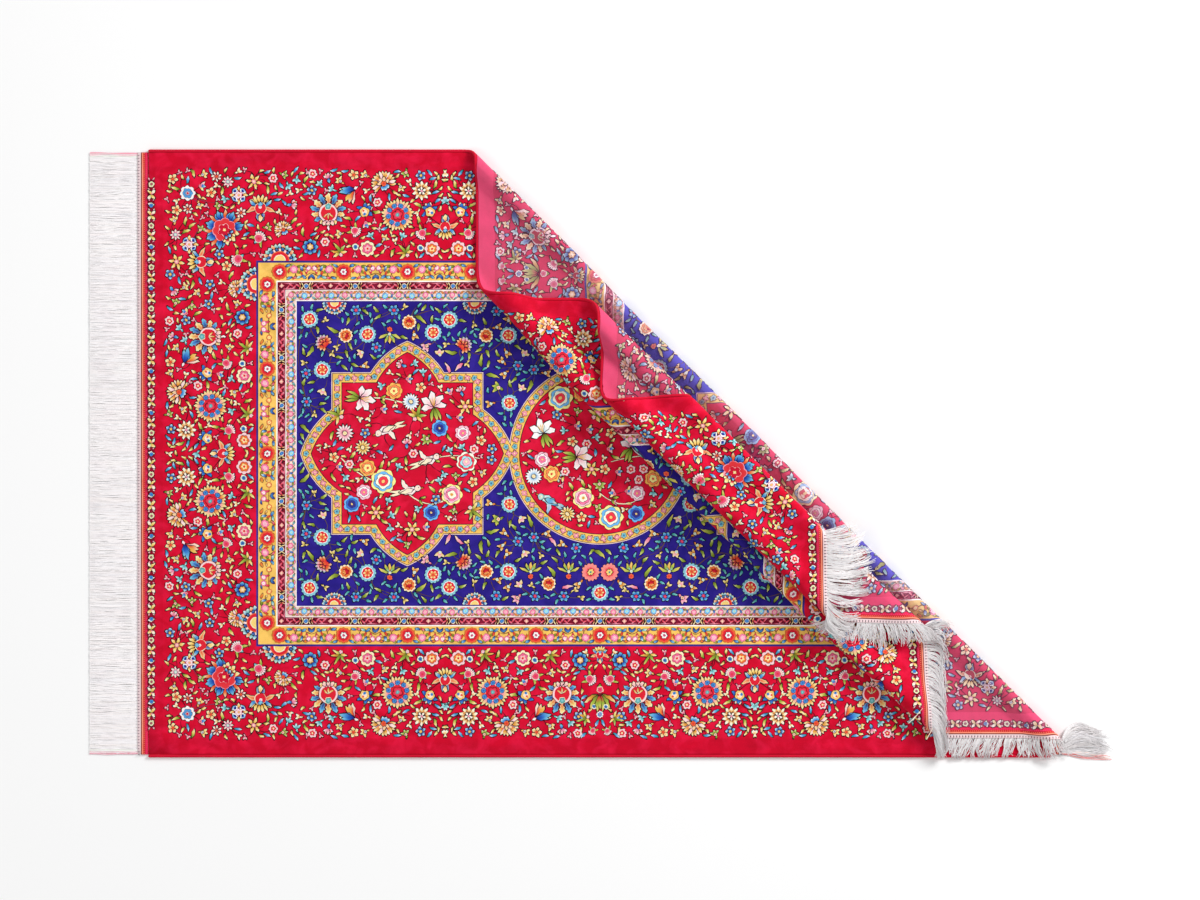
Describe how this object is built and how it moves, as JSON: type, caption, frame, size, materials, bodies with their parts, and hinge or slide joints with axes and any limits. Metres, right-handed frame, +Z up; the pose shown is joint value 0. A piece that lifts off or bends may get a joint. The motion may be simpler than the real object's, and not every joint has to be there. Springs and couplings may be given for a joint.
{
  "type": "machine-made oriental rug",
  "caption": "Cut-pile oriental rug lying flat, one corner drawn back in soft diagonal pleats, with bound sides and a cotton fringe at both ends.",
  "frame": {"origin": "middle of the rug's underside, on the floor, as if the rug lay unfolded", "axes": "+X along the rug from the flat end to the folded end, +Y across it to the folded side, +Z up off the floor"},
  "size_m": [1.6945, 1.0107, 0.0831],
  "materials": {
    "pile": "dense cut pile with a soft sheen, crimson with a navy field, gold bands and many-coloured flowers",
    "binding": "overcast crimson yarn",
    "end_band": "flat-woven band with a gold chain line and red cords",
    "cotton": "fine white twisted threads"
  },
  "bodies": {
    "root": {"pile_rug": "pile", "selvedge_far": "binding", "selvedge_near": "binding", "end_band_left": "end_band", "end_band_right": "end_band", "fringe_left": "cotton", "fringe_right": "cotton"}
  },
  "joints": []
}
